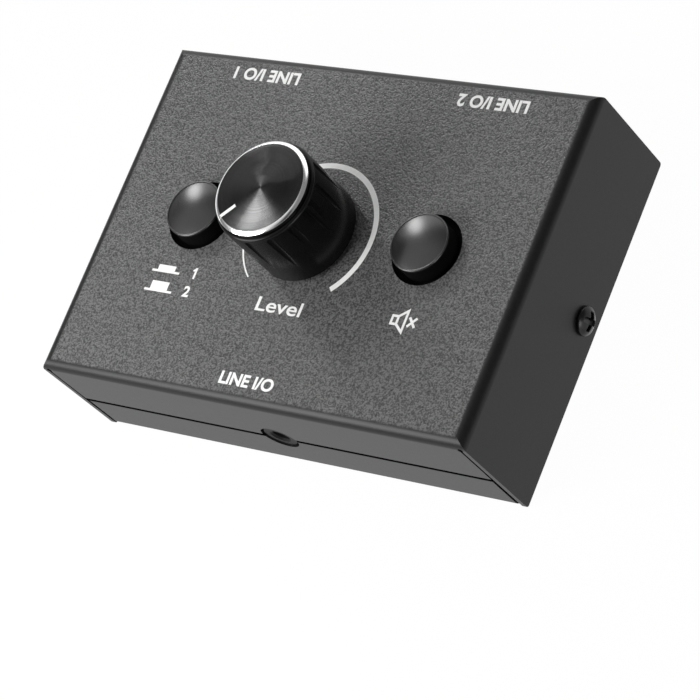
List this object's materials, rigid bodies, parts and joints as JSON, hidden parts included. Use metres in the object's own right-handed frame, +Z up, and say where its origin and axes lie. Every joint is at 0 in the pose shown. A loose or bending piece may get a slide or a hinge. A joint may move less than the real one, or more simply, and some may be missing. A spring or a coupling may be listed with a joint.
{
  "type": "speaker selector switch",
  "caption": "Small folded-metal speaker selector box with a fluted level knob, round latching select and mute buttons, and 3.5 mm jacks front and rear.",
  "frame": {"origin": "centre of the box's underside, on the surface it rests on", "axes": "+X to the right seen from the front with the single jack, +Y to the rear, +Z up along the knob's axis"},
  "size_m": [0.1034, 0.0716, 0.0446],
  "materials": {
    "cover_paint": "dark grey powder coat with a fine sand texture",
    "chassis_paint": "smooth dark grey coat",
    "black_screw": "black oxide",
    "board_laminate": "green solder mask",
    "plated_steel": "bright plating",
    "zinc_casting": "dull die-cast",
    "spring_brass": "rolled strip",
    "spring_steel": "drawn wire",
    "jack_plastic": "moulded black nylon",
    "switch_plastic": "moulded black housing",
    "plunger_plastic": "moulded natural acetal",
    "pot_resin": "moulded resin",
    "wafer_laminate": "phenolic laminate with carbon track",
    "shaft_metal": "turned",
    "knob_plastic": "gloss black",
    "knob_disc_metal": "black anodised, spun, with a bright cut chamfer",
    "pointer_paint": "white filling",
    "button_plastic": "gloss black",
    "white_print": "white silkscreen"
  },
  "bodies": {
    "case": {"board_screws": "plated_steel", "board_standoffs": "spring_brass", "bottom_chassis": "chassis_paint", "circuit_board": "board_laminate", "common_jack_housing": "jack_plastic", "common_ring_contact": "plated_steel", "common_sleeve_contact": "plated_steel", "common_tip_contact": "plated_steel", "level_pot_front_plate": "zinc_casting", "level_pot_housing": "pot_resin", "level_pot_terminals": "plated_steel", "level_pot_wafers": "wafer_laminate", "mute_latch_wire": "spring_steel", "mute_spring": "spring_steel", "mute_switch_base": "switch_plastic", "mute_switch_housing": "switch_plastic", "mute_switch_terminals": "plated_steel", "port_1_jack_housing": "jack_plastic", "port_1_ring_contact": "plated_steel", "port_1_sleeve_contact": "plated_steel", "port_1_tip_contact": "plated_steel", "port_2_jack_housing": "jack_plastic", "port_2_ring_contact": "plated_steel", "port_2_sleeve_contact": "plated_steel", "port_2_tip_contact": "plated_steel", "select_latch_wire": "spring_steel", "select_spring": "spring_steel", "select_switch_base": "switch_plastic", "select_switch_housing": "switch_plastic", "select_switch_terminals": "plated_steel", "side_screws": "black_screw", "top_cover": "cover_paint"},
    "knob": {"knob_disc": "knob_disc_metal", "knob_pointer": "pointer_paint", "knob_shell": "knob_plastic", "level_pot_retaining_ring": "spring_steel", "level_pot_rotors": "plunger_plastic", "level_pot_shaft": "shaft_metal", "level_pot_wipers": "spring_brass"},
    "select_push": {"select_button": "button_plastic", "select_contact_bridges": "spring_brass", "select_plunger": "plunger_plastic"},
    "mute_push": {"mute_button": "button_plastic", "mute_contact_bridges": "spring_brass", "mute_plunger": "plunger_plastic"}
  },
  "joints": [
    {"name": "knob_turn", "type": "hinge", "parent": "case", "child": "knob", "pos_m": [-0.0004, 0, 0.027], "axis": [0, 0, 1], "range_deg": [-280, 0]},
    {"name": "select_press", "type": "slide", "parent": "case", "child": "select_push", "axis": [0, 0, -1], "range_m": [0, 0.0025], "stiffness_N_per_m": 300, "springref_m": -0.004, "deforming": ["select_spring"]},
    {"name": "mute_press", "type": "slide", "parent": "case", "child": "mute_push", "axis": [0, 0, -1], "range_m": [0, 0.0025], "stiffness_N_per_m": 300, "springref_m": -0.004, "deforming": ["mute_spring"]}
  ]
}
